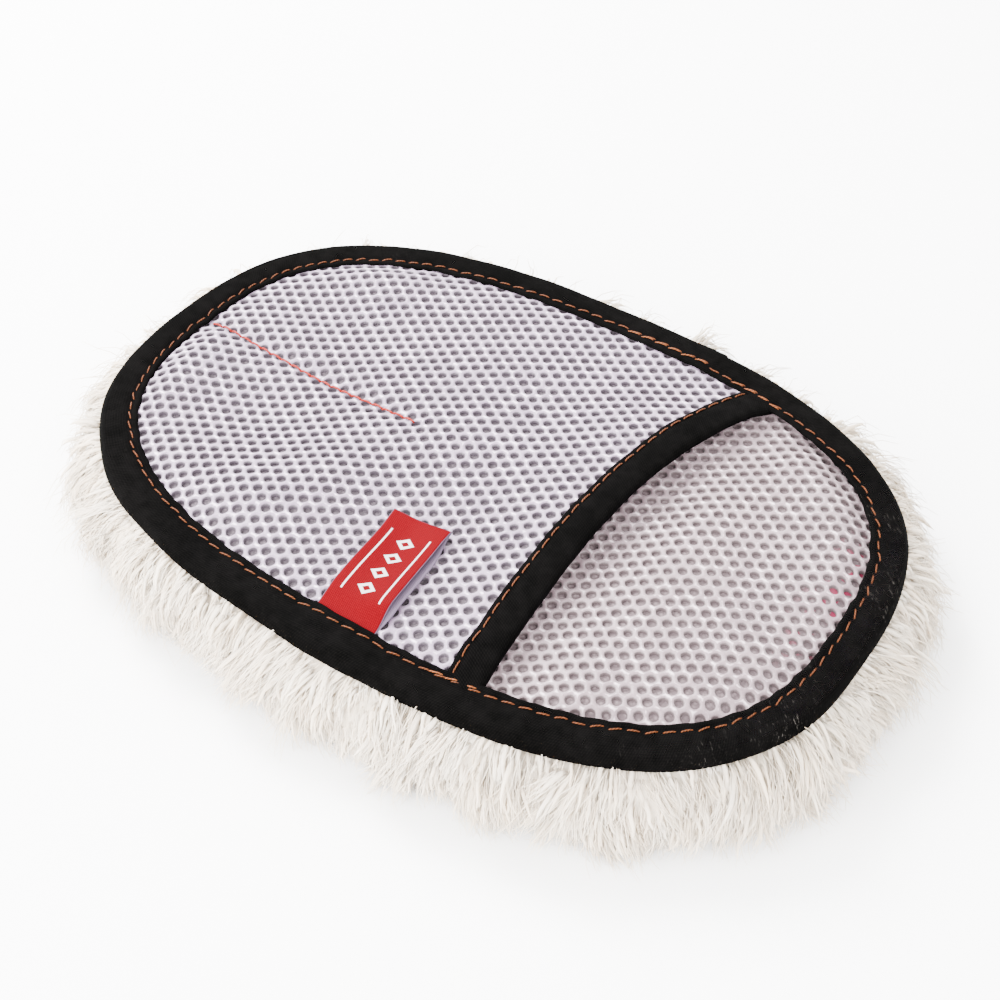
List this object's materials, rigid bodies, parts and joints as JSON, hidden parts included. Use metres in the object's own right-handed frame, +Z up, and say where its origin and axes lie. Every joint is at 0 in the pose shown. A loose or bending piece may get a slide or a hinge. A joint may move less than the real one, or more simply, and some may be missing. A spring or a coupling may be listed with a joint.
{
  "type": "wash mitt",
  "caption": "Oval lambswool wash mitt with a mesh hand pocket on its back, two finger bays, black edge tape and a folded fabric label.",
  "frame": {"origin": "under the middle of the pad, where the wool rests on the floor", "axes": "+X along the pad to its wrist end, +Y across it to the side away from the label, +Z up out of the back of the hand"},
  "size_m": [0.27, 0.189, 0.0367],
  "materials": {
    "wool": "soft matt wool",
    "hide": "matt suede",
    "mesh": "satin polyester mesh",
    "tape": "matt woven tape",
    "copper_thread": "satin thread",
    "red_thread": "satin thread",
    "label": "woven satin ribbon"
  },
  "bodies": {
    "pad": {"wool_pile": "wool", "hide_backing": "hide", "base_mesh": "mesh", "pocket_mesh": "mesh", "edge_binding": "tape", "edge_needle_thread": "copper_thread", "edge_bobbin_thread": "copper_thread", "edge_backtack_thread": "copper_thread", "divider_needle_thread": "red_thread", "divider_bobbin_thread": "red_thread"},
    "pocket_mouth": {"mouth_binding": "tape", "mouth_needle_thread": "copper_thread", "mouth_bobbin_thread": "copper_thread"},
    "label": {"label": "label"}
  },
  "joints": [
    {"name": "mouth_lift", "type": "slide", "parent": "pad", "child": "pocket_mouth", "axis": [0, 0, 1], "range_m": [0, 0.022], "stiffness_N_per_m": 40, "deforming": ["pocket_mesh"]},
    {"name": "label_flip", "type": "hinge", "parent": "pad", "child": "label", "pos_m": [0.001, -0.0712, 0.03095], "axis": [1, 0, 0], "range_deg": [0, 150]}
  ]
}
